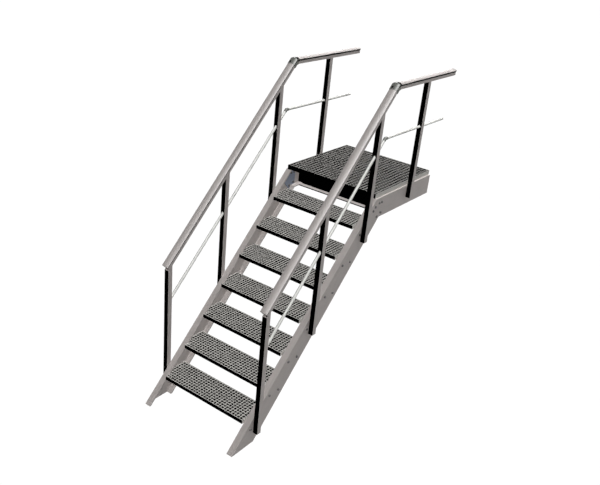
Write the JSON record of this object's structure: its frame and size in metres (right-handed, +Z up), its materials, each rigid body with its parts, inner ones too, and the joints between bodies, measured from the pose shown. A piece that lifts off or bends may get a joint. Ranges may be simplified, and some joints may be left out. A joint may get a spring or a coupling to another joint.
{
  "type": "access stair",
  "caption": "Straight access stair in glass-reinforced plastic: open mesh treads and landing between channel stringers, with a handrail and a knee rail on both sides.",
  "frame": {"origin": "middle of the rear face of the landing's rear cross-beam, where the stair is fastened", "axes": "+X to the right for a person going up, +Y in the going-up direction, out of the rear face, +Z up"},
  "size_m": [1.008, 2.5191, 2.5065],
  "materials": {
    "grp_grey": "satin",
    "mesh_grey": "matt, open mesh",
    "rail_grey": "semi-gloss",
    "rod_light": "semi-gloss",
    "splice_grey": "satin, blue-grey",
    "fitting_dark": "satin"
  },
  "bodies": {
    "root": {"stringer_left_flight": "grp_grey", "stringer_right_flight": "grp_grey", "stringer_left_landing": "grp_grey", "stringer_right_landing": "grp_grey", "splice_plate_left": "splice_grey", "splice_plate_right": "splice_grey", "tread_1": "mesh_grey", "tread_2": "mesh_grey", "tread_3": "mesh_grey", "tread_4": "mesh_grey", "tread_5": "mesh_grey", "tread_6": "mesh_grey", "tread_7": "mesh_grey", "landing_grating": "mesh_grey", "landing_beam_front": "grp_grey", "landing_beam_rear": "grp_grey", "post_left_1": "grp_grey", "post_left_2": "grp_grey", "post_left_3": "grp_grey", "post_left_4": "grp_grey", "post_right_1": "grp_grey", "post_right_2": "grp_grey", "post_right_3": "grp_grey", "post_right_4": "grp_grey", "handrail_left_flight": "rail_grey", "handrail_left_landing": "rail_grey", "handrail_right_flight": "rail_grey", "handrail_right_landing": "rail_grey", "handrail_corner_left": "fitting_dark", "handrail_corner_right": "fitting_dark", "knee_rail_left_flight": "rod_light", "knee_rail_left_landing": "rod_light", "knee_rail_right_flight": "rod_light", "knee_rail_right_landing": "rod_light", "knee_rail_bend_left": "fitting_dark", "knee_rail_bend_right": "fitting_dark", "tread_cleats_left": "grp_grey", "tread_cleats_right": "grp_grey"}
  },
  "joints": []
}
